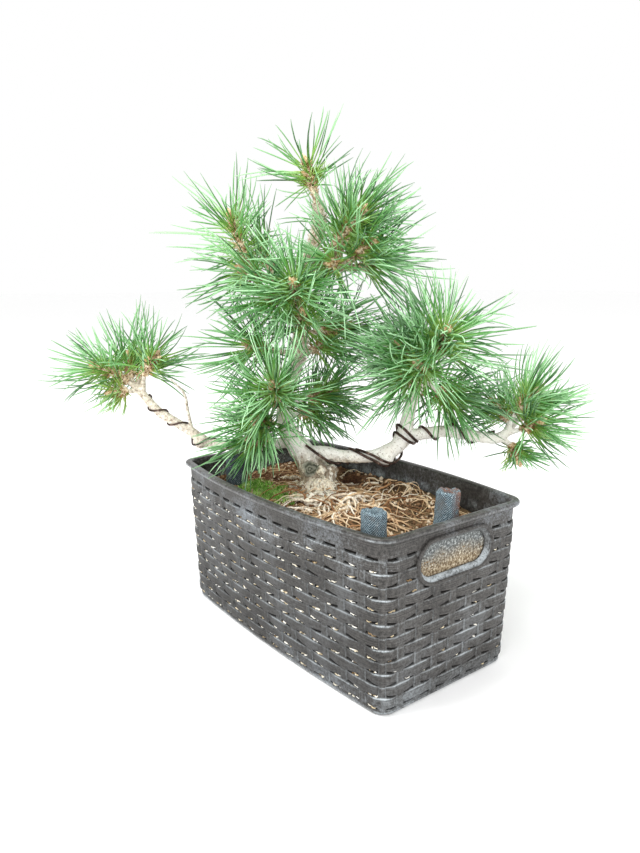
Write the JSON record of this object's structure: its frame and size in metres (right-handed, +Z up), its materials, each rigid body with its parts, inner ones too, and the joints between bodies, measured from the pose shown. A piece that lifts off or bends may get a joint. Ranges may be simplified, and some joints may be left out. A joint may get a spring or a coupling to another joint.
{
  "type": "mugo pine bonsai in a plastic basket",
  "caption": "Young mugo pine in training: upright trunk, two long wired side branches and tufts of stiff green needles, growing in a deep woven-look plastic basket with handle holes.",
  "frame": {"origin": "middle of the basket's flat underside, at the height of what it stands on", "axes": "+Z up, X along the basket's long sides with +X towards the handle end shown in the picture, Y across the basket, with -Y the long side shown in the picture"},
  "size_m": [0.3936, 0.4152, 0.4691],
  "materials": {
    "basket_plastic": "satin",
    "handle_mesh": "matte",
    "soil": "matte",
    "tube_mesh": "matte",
    "bark": "matte",
    "copper_wire": "satin",
    "needles": "satin"
  },
  "bodies": {
    "root": {"basket": "basket_plastic", "handle_mesh_near": "handle_mesh", "handle_mesh_far": "handle_mesh", "soil": "soil", "mesh_tube_front": "tube_mesh", "mesh_tube_right": "tube_mesh", "mesh_tube_left": "tube_mesh", "trunk": "bark", "wire_right_a": "copper_wire", "wire_right_b": "copper_wire", "wire_left": "copper_wire", "spray_apex": "needles", "spray_upright_a": "needles", "spray_upright_b": "needles", "spray_upright_c": "needles", "spray_upright_d": "needles", "spray_upright_e": "needles", "spray_upright_f": "needles", "spray_centre_a": "needles", "spray_centre_b": "needles", "spray_centre_c": "needles", "spray_upper_left_a": "needles", "spray_upper_left_b": "needles", "spray_upper_left_c": "needles", "spray_middle_left": "needles", "spray_middle_right_a": "needles", "spray_middle_right_b": "needles", "spray_lower_a": "needles", "spray_lower_b": "needles", "spray_lower_c": "needles", "spray_lower_d": "needles", "spray_lower_e": "needles", "spray_left_a": "needles", "spray_left_b": "needles", "spray_left_c": "needles", "spray_left_d": "needles", "spray_left_e": "needles", "spray_right_a": "needles", "spray_right_b": "needles", "spray_right_c": "needles", "spray_right_d": "needles", "spray_right_e": "needles", "spray_right_f": "needles", "spray_far_a": "needles", "spray_far_b": "needles", "spray_far_c": "needles", "spray_far_d": "needles", "spray_far_e": "needles", "spray_back_a": "needles", "spray_back_b": "needles"}
  },
  "joints": []
}
